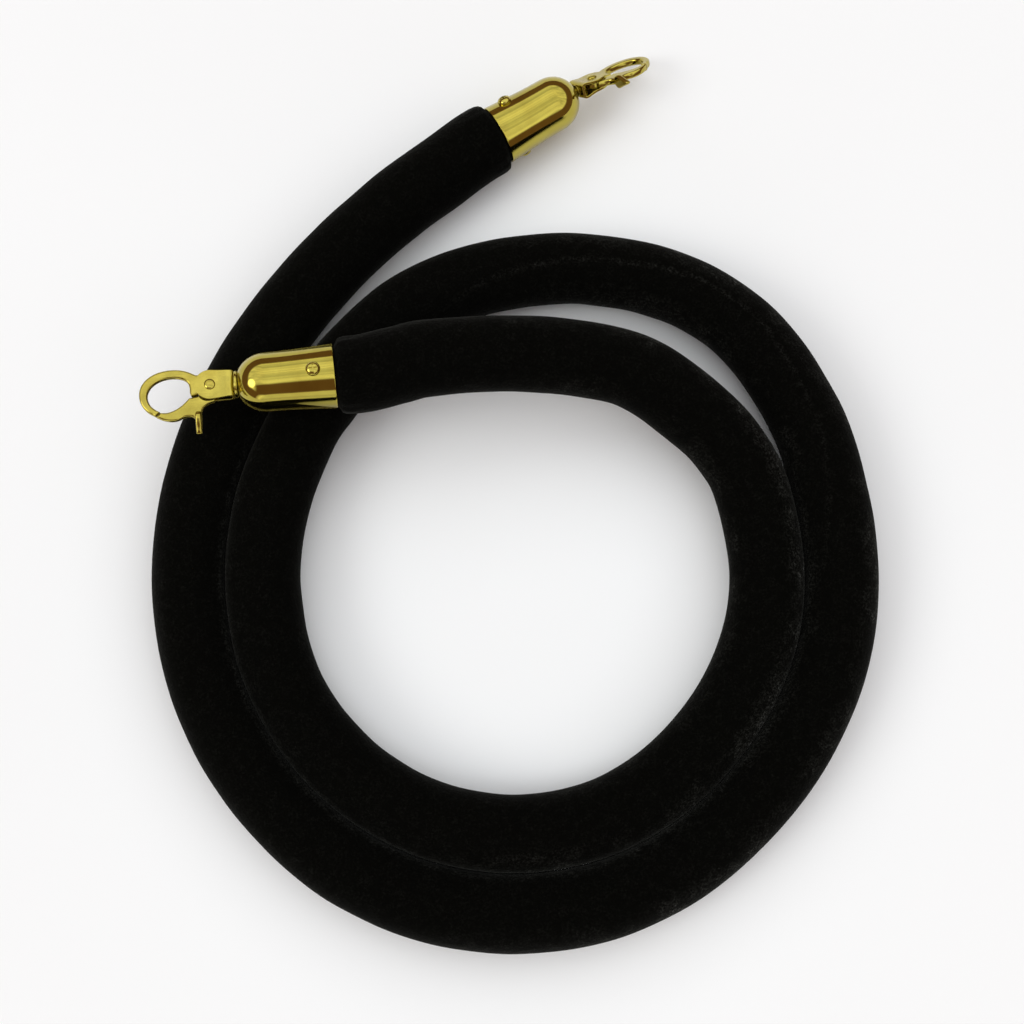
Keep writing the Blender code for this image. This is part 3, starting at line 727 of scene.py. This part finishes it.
def skin(name, shells, ring=True):
    """One closed mesh from rows of points. A ring's last row joins its first, else both ends are filled."""
    rows = np.concatenate(shells)
    count, sides = rows.shape[:2]
    first = np.arange(count * sides).reshape(count, sides)
    after = np.roll(first, -1, axis=1)
    faces = np.stack([first, after, np.roll(after, -1, axis=0), np.roll(first, -1, axis=0)], axis=-1)
    faces = faces if ring else faces[:-1]
    faces = faces.reshape(-1, 4).tolist()
    if not ring:
        faces += [first[0].tolist(), first[-1].tolist()]
    bm = bmesh.new()
    corners = [bm.verts.new(point) for point in rows.reshape(-1, 3)]
    for face in faces:
        bm.faces.new([corners[index] for index in face])
    return mesh_from(bm, name)


def seam_angle(distances, length):
    """Where the sewn seam runs around the sleeve: on top for a while, and on the inner side elsewhere."""
    top = length * SEAM_TOP
    knots = (
        (0, 2.6), (top - 220, 2.3), (top - 110, 0.3), (top, -0.25), (top + 90, 0.15), (top + 210, 2.0),
        (length, 2.9),
    )
    values = np.interp(distances, *zip(*knots))
    window = np.hanning(41)
    padded = np.pad(values, 20, mode="edge")
    return np.convolve(padded, window / window.sum(), mode="valid")


def slimness(centres, distances):
    """One in the middle of the slim stretch, fading to nothing at its ends."""
    shift = np.array([*COIL_CENTRE, 0.0])
    spots = [np.array([*WIDENING[index], LYING_HEIGHT]) + shift for index in SLIM_STRETCH]
    start, end = (distances[np.linalg.norm(centres - spot, axis=1).argmin()] for spot in spots)
    along = np.clip((distances - start) / (end - start), 0.0, 1.0)
    return np.sin(along * math.pi) ** 0.7


def rim_sheen_share(centres):
    """How strong the painted rim sheen is at each centre: weakest to the west, full to the east."""
    return np.interp(centres[:, 0], RIM_SHEEN_FADE, (RIM_SHEEN_LEAST, 1.0))


def sleeve_radii(centres, distances, angles, apart):
    """Radius of the sleeve at each ring and side: uneven, pleated at the caps and drawn in at the seam."""
    from_end = np.minimum(distances, distances[-1] - distances)
    radii = np.full((len(distances), len(angles)), ROPE_RADIUS)
    radii += lumps(distances, angles, 7, SLEEVE_WAVES)
    pleats = np.cos(angles * 17 + 0.6) * 0.6 + np.cos(angles * 11 + 2.0) * 0.4
    place, width = PLEAT_PLACE
    radii += PLEAT_DEPTH * np.exp(-((from_end - place) / width) ** 2)[:, None] * pleats
    place, width = LIP_PLACE
    groove = -SEAM_DEPTH * np.exp(-(apart / SEAM_HALF_WIDTH) ** 2)
    radii += groove + LIP_HEIGHT * np.exp(-((np.abs(apart) - place) / width) ** 2)
    return radii * (shoulder_share(from_end) * (1.0 - SLIM_SHARE * slimness(centres, distances)))[:, None]


def sleeve_lining(centres, distances):
    """Rings of the sleeve's inside, narrowing towards the caps."""
    from_end = np.minimum(distances, distances[-1] - distances)
    narrow = TUCKED_RADIUS - SLEEVE_THICKNESS + np.maximum(from_end - 1.0, 0.0) * 0.45
    radii = np.minimum(ROPE_RADIUS - SLEEVE_THICKNESS - 0.35, narrow)
    return tube_rings(centres, np.repeat(radii[:, None], RING_SIDES, axis=1))[::5]


def sleeve_tuck(end, up, side, angles):
    """The sleeve's rows inside a cap, from its mouth inwards, and their lining, from its tip outwards."""
    depths = np.array([0.0, 1.2, SLEEVE_TUCK])
    spots = np.array(end_mouth(end)) + np.array(end_direction(end)) * depths[:, None]
    around = around_axis(up, side, angles)
    shell = np.stack([spot + around * TUCKED_RADIUS for spot in spots])
    lining = np.stack([spot + around * (TUCKED_RADIUS - SLEEVE_THICKNESS) for spot in spots[::-1]])
    return shell, lining


def mark_points(item, first, **marks):
    """Values for the material on the points from the first on, and zero on all others."""
    for name, values in marks.items():
        spread = np.zeros(len(item.data.vertices))
        spread[first:first + values.size] = values.ravel()
        item.data.attributes.new(name, "FLOAT", "POINT").data.foreach_set("value", spread)


def build_sleeve(centres, distances, materials):
    """Velvet tube with a wall, its two ends tucked into the caps."""
    length = distances[-1]
    angles = np.linspace(0.0, math.tau, RING_SIDES, endpoint=False)
    apart = (angles - seam_angle(distances, length)[:, None] + math.pi) % math.tau - math.pi
    rings = tube_rings(centres, sleeve_radii(centres, distances, angles, apart))
    outer, touch = keep_clear(rings, centres, distances)
    inner = sleeve_lining(centres, distances)[::-1]
    up, side = ring_frames(centres)
    start_shell, start_lining = sleeve_tuck(ENDS["a"], up[0], side[0], angles)
    end_shell, end_lining = sleeve_tuck(ENDS["b"], up[-1], side[-1], angles)
    shells = [
        start_shell[::-1], outer[1:-1], end_shell, end_lining[:-1], inner[1:-1], start_lining[::-1][:-1],
    ]
    sleeve = place_object("velvet_sleeve", skin("velvet_sleeve", shells), material=materials["velvet"])

    # The seam and the lines where strands touch are drawn pale: lint, with painted sheen where the ridge
    # catches the light, palest just before the seam reaches the top
    before_top, half_length = SEAM_SHEEN
    seam_sheen = 0.1 + 0.35 * np.exp(-((distances - SEAM_TOP * length + before_top) / half_length) ** 2)
    lint = np.maximum(touch, seam_sheen[:, None] * np.exp(-(apart / LINT_AND_SHEEN_HALF_WIDTH) ** 2))
    # Painted rim sheen: pale flecks on the flanks where light grazes the pile, stronger on the coil's
    # outside and to the east
    from_top = np.degrees((angles + math.pi) % math.tau - math.pi)
    flank = np.interp(from_top, *zip(*RIM_SHEEN)) * rim_sheen_share(centres)[:, None]
    mark_points(sleeve, start_shell[..., 0].size, lint=lint[1:-1], flank=flank[1:-1])
    own(sleeve, "rope", "velvet", "velvet_cover")
    return sleeve


def build_wadding(centres, distances, materials):
    """Soft core, with rounded ends that stop short of the caps."""
    keep = (distances > WADDING_SETBACK) & (distances < distances[-1] - WADDING_SETBACK)
    centres = centres[keep][::3]
    angles = np.linspace(0.0, math.tau, RING_SIDES, endpoint=False)[::2]
    core = tube_rings(centres, WADDING_RADIUS + lumps(distances[keep][::3], angles, 3, WADDING_WAVES))
    tips = [centres[row] + (core[row] - centres[row]) * share
            for row, share in ((0, 0.3), (0, 0.93), (-1, 0.93), (-1, 0.3))]
    mesh = skin("rope_wadding", [np.stack(tips[:2]), core, np.stack(tips[2:])], ring=False)
    own(place_object("rope_wadding", mesh, material=materials["wadding"]), "rope", "core", "rope_core")


def build_rope(materials):
    route = rope_route()
    centres, distances = resample(route, RING_STEP)
    sleeve = build_sleeve(centres, distances, materials)
    build_wadding(centres, distances, materials)
    return sleeve, route


# ---------------------------------------------------------------- metal ends

def cap_profile():
    """Closed section of the cap: rolled mouth, tapered body, round shoulder and a flat, pierced nose."""
    top_angle = math.acos(CAP_NOSE_RADIUS / CAP_SHOULDER_RADIUS)
    stretch = (CAP_LENGTH - CAP_SHOULDER_X) / math.sin(top_angle)

    def dome(inset, steps):
        angles = [top_angle * step / steps for step in range(steps + 1)]
        radius = CAP_SHOULDER_RADIUS - inset
        return [(CAP_SHOULDER_X + (stretch - inset) * math.sin(a), radius * math.cos(a)) for a in angles]

    rim = [(CAP_RIM - CAP_RIM * math.cos(a), CAP_MOUTH_RADIUS - CAP_RIM + CAP_RIM * math.sin(a))
           for a in (math.radians(step) for step in range(-60, 91, 15))]
    narrowing = CAP_MOUTH_RADIUS - CAP_SHOULDER_RADIUS
    body = [(x, CAP_MOUTH_RADIUS - narrowing * math.sin(math.pi / 2 * x / CAP_SHOULDER_X) ** CAP_TAPER_CURVE)
            for x in range(1, int(CAP_SHOULDER_X))]
    outside = [*rim, *body, *dome(0.0, 22)[1:-1]]
    inside_dome = dome(CAP_WALL, 8)[::-1]
    inner_nose = inside_dome[0][0]
    corners = [
        (CAP_LENGTH - 0.35, CAP_NOSE_RADIUS + 0.5), (CAP_LENGTH, CAP_NOSE_RADIUS - 0.15),
        (CAP_LENGTH, NOSE_HOLE_RADIUS), (inner_nose, NOSE_HOLE_RADIUS),
    ]
    nose = rounded(corners, NOSE_ROUND, 4)[1:]
    return outside + nose + [*inside_dome, (0.5, CAP_MOUTH_RADIUS - CAP_WALL)]


def build_cap(tag, end, materials):
    """The cap, and its two screws on opposite sides."""
    spot = end_matrix(end)
    mesh = turned("gold_cap", cap_profile(), 144, ring=True)
    cap = place_object(f"gold_cap_{tag}", mesh, spot, materials["cap"])
    settle(cap, sharp_angle=60.0)
    own(cap, "rope", "cap_gold", f"end_cap_{tag}")
    for number, angle in enumerate((end["screw"], end["screw"] + 180.0), start=1):
        build_screw(tag, number, spot @ Matrix.Rotation(math.radians(angle), 4, "X"), materials)


def build_screw(tag, number, around, materials):
    """Pan-head screw with a cross recess, standing on the cap."""
    seat = SCREW_SEAT_RADIUS
    head = [(seat + SCREW_HEAD[0][0], SCREW_SHANK_RADIUS)]
    head += [(seat + height, radius) for height, radius in SCREW_HEAD]
    profile = [(SCREW_TIP_RADIUS, 0), (SCREW_TIP_RADIUS + 2, SCREW_SHANK_RADIUS), *rounded(head, 0.3, 3)]
    outward = Matrix.Rotation(math.radians(-90), 4, "Y")
    spot = around @ Matrix.Translation((SCREW_X * MM, 0, 0)) @ outward
    screw = place_object(f"screw_{tag}_{number}", turned("screw", profile, 64), spot, materials["hardware"])
    height, length, width = SCREW_RECESS
    top = spot @ Matrix.Translation((head[-1][0] * MM, 0, 0))
    cutters = []
    for size in ((height, length, width), (height, width, length)):
        cutters.append(add_cut(screw, place_object("blade", block("blade", size), top)))
    settle(screw, cutters)
    own(screw, "rope", "hardware_gold", f"cap_screw_{tag}_{number}")


def build_swivel(tag, spot, materials):
    """The rivet that the hook swivels on, its head inside the cap, and the washer under the strap."""
    low, high = SWIVEL_HEAD_X
    profile = [
        (low, 0), (low, SWIVEL_HEAD_RADIUS), (high, SWIVEL_HEAD_RADIUS), (high, SWIVEL_SHANK_RADIUS),
        (SWIVEL_TIP[0][0], SWIVEL_SHANK_RADIUS), *SWIVEL_TIP,
    ]
    shifted = [(x - HOOK_PIVOT_X, radius) for x, radius in rounded(profile, 0.3, 4)]
    rivet = place_object(f"swivel_pin_{tag}", turned("swivel_pin", shifted, 64), spot, materials["hardware"])
    settle(rivet)
    own(rivet, f"hook_{tag}", "hardware_gold", f"swivel_rivet_{tag}")

    start, end, radius, rounding = WASHERS[tag]
    low, high = start - HOOK_PIVOT_X, end - HOOK_PIVOT_X
    inside = ((low + high) / 2, WASHER_HOLE_RADIUS)
    corners = [
        inside, (low, WASHER_HOLE_RADIUS), (low, radius), (high, radius), (high, WASHER_HOLE_RADIUS), inside,
    ]
    mesh = turned("swivel_ring", rounded(corners, rounding, 6)[1:], 64, ring=True)
    washer = place_object(f"swivel_ring_{tag}", mesh, spot, materials["hardware"])
    settle(washer)
    own(washer, f"hook_{tag}", "hardware_gold", f"swivel_washer_{tag}")


def strap_half_width(x):
    """Half the strap's width at x: round end over the rivet, slight taper to the base."""
    if x >= 0:
        return math.sqrt(max(STRAP_END_RADIUS ** 2 - x * x, 0.0))
    base_x = STRAP_HALF_BOW[-1][0]
    return STRAP_END_RADIUS + (STRAP_BASE_HALF_WIDTH - STRAP_END_RADIUS) * min(1.0, x / base_x)


def build_strap(tag, spot, materials):
    """Folded sheet: two round-ended ears and a bow around the swivel rivet's riveted end."""
    half_bow = [Vector(point) for point in STRAP_HALF_BOW]
    bow = smooth_points([*half_bow, *[Vector((p.x, -p.y)) for p in reversed(half_bow)]], 6)
    tip = STRAP_END_RADIUS * 0.999
    ear = [Vector((tip * math.cos(math.pi / 2 * step / 24), STRAP_EAR_HEIGHT)) for step in range(25)]
    path = [*ear, *bow, *[Vector((p.x, -p.y)) for p in reversed(ear)]]
    columns = 17
    shares = [math.sin(math.pi / 2 * (2 * k / (columns - 1) - 1)) for k in range(columns)]
    bm = bmesh.new()
    rows = []
    for point in path:
        half = strap_half_width(point.x)
        rows.append([bm.verts.new((point.x, half * share, point.y)) for share in shares])
    for first, second in zip(rows, rows[1:]):
        for k in range(columns - 1):
            bm.faces.new((first[k], first[k + 1], second[k + 1], second[k]))
    strap = place_object(f"swivel_strap_{tag}", mesh_from(bm, "swivel_strap"), spot, materials["hardware"])
    sheet = strap.modifiers.new("sheet thickness", "SOLIDIFY")
    sheet.thickness = STRAP_THICKNESS * MM
    sheet.offset = 0.0
    sheet.use_even_offset = True
    strap.modifiers.new("soft rims", "SUBSURF").levels = 1
    settle(strap, sharp_angle=75.0)
    own(strap, f"hook_{tag}", "hardware_gold", f"strap_{tag}")


def build_hook_rivet(tag, spot, materials):
    """Round-headed rivet through the strap's ears, the hook and the trigger."""
    profile = [(-x, radius) for x, radius in reversed(CROSS_RIVET_HALF)] + [*CROSS_RIVET_HALF]
    upright = spot @ Matrix.Rotation(math.radians(90), 4, "Y")
    mesh = turned("cross_rivet", rounded(profile, 0.12, 3), 64)
    rivet = place_object(f"cross_rivet_{tag}", mesh, upright, materials["hardware"])
    settle(rivet)
    own(rivet, f"hook_{tag}", "hardware_gold", f"hook_rivet_{tag}")


def build_hook_body(tag, spot, materials):
    """The open loop and its shank, slotted for the trigger's hub."""
    outside = smooth_outline(LOOP_OUTSIDE)
    inside = smooth_outline(LOOP_INSIDE)
    shank = arc_points(HOOK_SHANK_RADIUS, *SHANK_ANGLES, 60)
    throat = smooth_outline([shank[-1], *LOOP_THROAT], 4)[1:-1]
    outline = even_outline(outside + shank + throat + inside)
    mesh = rounded_plate("loop_body", outline, HOOK_HALF_THICKNESS, HOOK_EDGE_ROUND)
    body = place_object(f"snap_hook_{tag}", mesh, spot, materials["hardware"])
    disc = plate("slot", arc_points(SLOT_RADIUS, 0, 352.5, 47), -SLOT_HALF_WIDTH, SLOT_HALF_WIDTH)
    settle(body, [add_cut(body, place_object("slot", disc, spot))])
    own(body, f"hook_{tag}", "hardware_gold", f"hook_body_{tag}")


def build_trigger(tag, spot, materials):
    """Gate arm with a flared thumb tab, on a thin hub."""
    lower = smooth_outline(GATE_LOWER)
    upper = smooth_outline(GATE_UPPER)
    arc = arc_points(ARM_INNER_RADIUS, *ARM_ANGLES, 24)
    mesh = rounded_plate("gate", even_outline(lower + upper + arc), HOOK_HALF_THICKNESS, HOOK_EDGE_ROUND)
    gate = place_object(f"gate_trigger_{tag}", mesh, spot, materials["hardware"])
    half = smooth_outline(TAB_HALF)
    outline = even_outline(half + [(y, -z) for y, z in reversed(half)])
    facing_hook = Matrix(((0, 0, 1, 0), (1, 0, 0, 0), (0, 1, 0, 0), (0, 0, 0, 1)))
    place = spot @ Matrix.Translation((TAB_X * MM, 0, 0)) @ facing_hook
    tab = place_object("tab", rounded_plate("tab", outline, TAB_HALF_DEPTH, TAB_EDGE_ROUND), place)
    start, end = ARM_ANGLES
    start, end = start - HUB_ROOT_MARGIN, end + HUB_ROOT_MARGIN
    hub_outline = arc_points(HUB_RADIUS, start, end + 360, 60)
    hub_outline += arc_points(ARM_INNER_RADIUS + HUB_ROOT_DEPTH, end, start, 16)
    hub = place_object("hub", plate("hub", hub_outline, -HUB_HALF_THICKNESS, HUB_HALF_THICKNESS), spot)
    settle(gate, [add_cut(gate, hub, "UNION"), add_cut(gate, tab, "UNION")])
    own(gate, f"lever_{tag}", "hardware_gold", f"trigger_{tag}")


def build_end(tag, end, materials):
    """One cap with its hook, and looks for the plug and the spring inside."""
    spot = hook_matrix(end)
    build_cap(tag, end, materials)
    build_swivel(tag, spot, materials)
    build_strap(tag, spot, materials)
    build_hook_rivet(tag, spot, materials)
    build_hook_body(tag, spot, materials)
    build_trigger(tag, spot, materials)
    for node, material in ((f"end_plug_{tag}", "wood"), (f"trigger_spring_{tag}", "steel")):
        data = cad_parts[node].data
        data.materials.clear()
        data.materials.append(materials[material])


# ---------------------------------------------------------------- stage, light and camera

def build_floor(materials):
    bm = bmesh.new()
    bmesh.ops.create_grid(bm, x_segments=8, y_segments=8, size=FLOOR_HALF_SIZE)
    floor = place_object("floor", mesh_from(bm, "floor"), material=materials["floor"])


def lit_share(nodes, direction):
    """One where the softbox or the window is seen, zero where only the surroundings are."""
    split = nodes.add("ShaderNodeSeparateXYZ", {"Vector": direction})
    east, north, height = (split.outputs[k] for k in "XYZ")
    south = nodes.maths("MULTIPLY", north, -1.0)
    from_middle = nodes.maths("ABSOLUTE", nodes.maths("ADD", east, GAP_SHIFT), 0.0)
    gap = nodes.maths("MULTIPLY", nodes.spread(south, *GAP_INNER), nodes.spread(south, *GAP_OUTER, 1.0, 0.0))
    gap = nodes.maths("MULTIPLY", gap, nodes.spread(from_middle, *GAP_SIDE, 1.0, 0.0))
    softbox = nodes.maths("MULTIPLY", nodes.spread(height, *SOFTBOX_EDGE), nodes.maths("SUBTRACT", 1.0, gap))
    window = nodes.maths("MULTIPLY", nodes.spread(south, *WINDOW_SOUTH), nodes.spread(height, *WINDOW_TOP))
    return nodes.maths("MAXIMUM", softbox, window)


def softbox_colour(nodes, direction):
    """Uneven brightness across the softbox."""
    streaks = nodes.add("ShaderNodeMapping", {"Vector": direction, "Scale": SOFTBOX_STREAKS})
    return nodes.ramp(nodes.noise(streaks.outputs["Vector"], 1.5, 3.0, 0.6), SOFTBOX_TONES)


def lamp_strength(nodes, direction):
    toward = nodes.add("ShaderNodeVectorMath", operation="DOT_PRODUCT")
    nodes.tree.links.new(direction, toward.inputs[0])
    toward.inputs[1].default_value = Vector(LAMP_DIRECTION).normalized()
    return nodes.spread(toward.outputs["Value"], *LAMP_EDGE, 0.0, LAMP_STRENGTH)


def joined(nodes, kind, *shaders):
    """A node that takes shaders as its last inputs, with their outputs linked in order."""
    node = nodes.add(kind)
    for socket, shader in zip(list(node.inputs)[-len(shaders):], shaders):
        nodes.tree.links.new(shader.outputs[0], socket)
    return node


def build_world():
    """A large softbox with a gap to the south, a low window, a round lamp and dim warm surroundings."""
    world = bpy.data.worlds.new("studio")
    bpy.context.scene.world = world
    world.use_nodes = True
    nodes = Nodes(world.node_tree)
    direction = nodes.add("ShaderNodeTexCoord").outputs["Generated"]
    mix = nodes.add("ShaderNodeMix", {"Factor": lit_share(nodes, direction)}, data_type="RGBA")
    dim, bright = list(mix.inputs)[6:8]
    dim.default_value = SURROUNDINGS
    nodes.tree.links.new(softbox_colour(nodes, direction), bright)
    around = nodes.add("ShaderNodeBackground", {"Color": mix.outputs[2], "Strength": 1.0})
    strength = lamp_strength(nodes, direction)
    lamp = nodes.add("ShaderNodeBackground", {"Color": LAMP_COLOUR, "Strength": strength})
    light = joined(nodes, "ShaderNodeAddShader", around, lamp)
    backdrop = nodes.add("ShaderNodeBackground", {"Color": BACKDROP, "Strength": 1.0})
    pick = joined(nodes, "ShaderNodeMixShader", light, backdrop)
    nodes.tree.links.new(nodes.add("ShaderNodeLightPath").outputs["Is Camera Ray"], pick.inputs[0])
    nodes.add("ShaderNodeOutputWorld", {"Surface": pick.outputs[0]})


def build_camera():
    data = bpy.data.cameras.new("camera")
    data.sensor_width = SENSOR
    data.lens = SENSOR * FOCAL_SHARE
    data.clip_start = NEAREST_SEEN * MM
    camera = bpy.data.objects.new("camera", data)
    bpy.context.scene.collection.objects.link(camera)
    elevation = math.radians(VIEW_ELEVATION)
    back = Vector((0.0, -math.cos(elevation), math.sin(elevation)))
    camera.location = (Vector(VIEW_TARGET) + back * VIEW_DISTANCE) * MM
    camera.rotation_euler = (math.radians(90.0) - elevation, 0.0, 0.0)
    bpy.context.scene.camera = camera


def build():
    materials = build_materials()
    build_camera()
    rope, route = build_rope(materials)
    for tag, end in ENDS.items():
        build_end(tag, end, materials)
    build_floor(materials)
    build_world()
    bpy.context.scene.view_settings.view_transform = "Standard"


build()
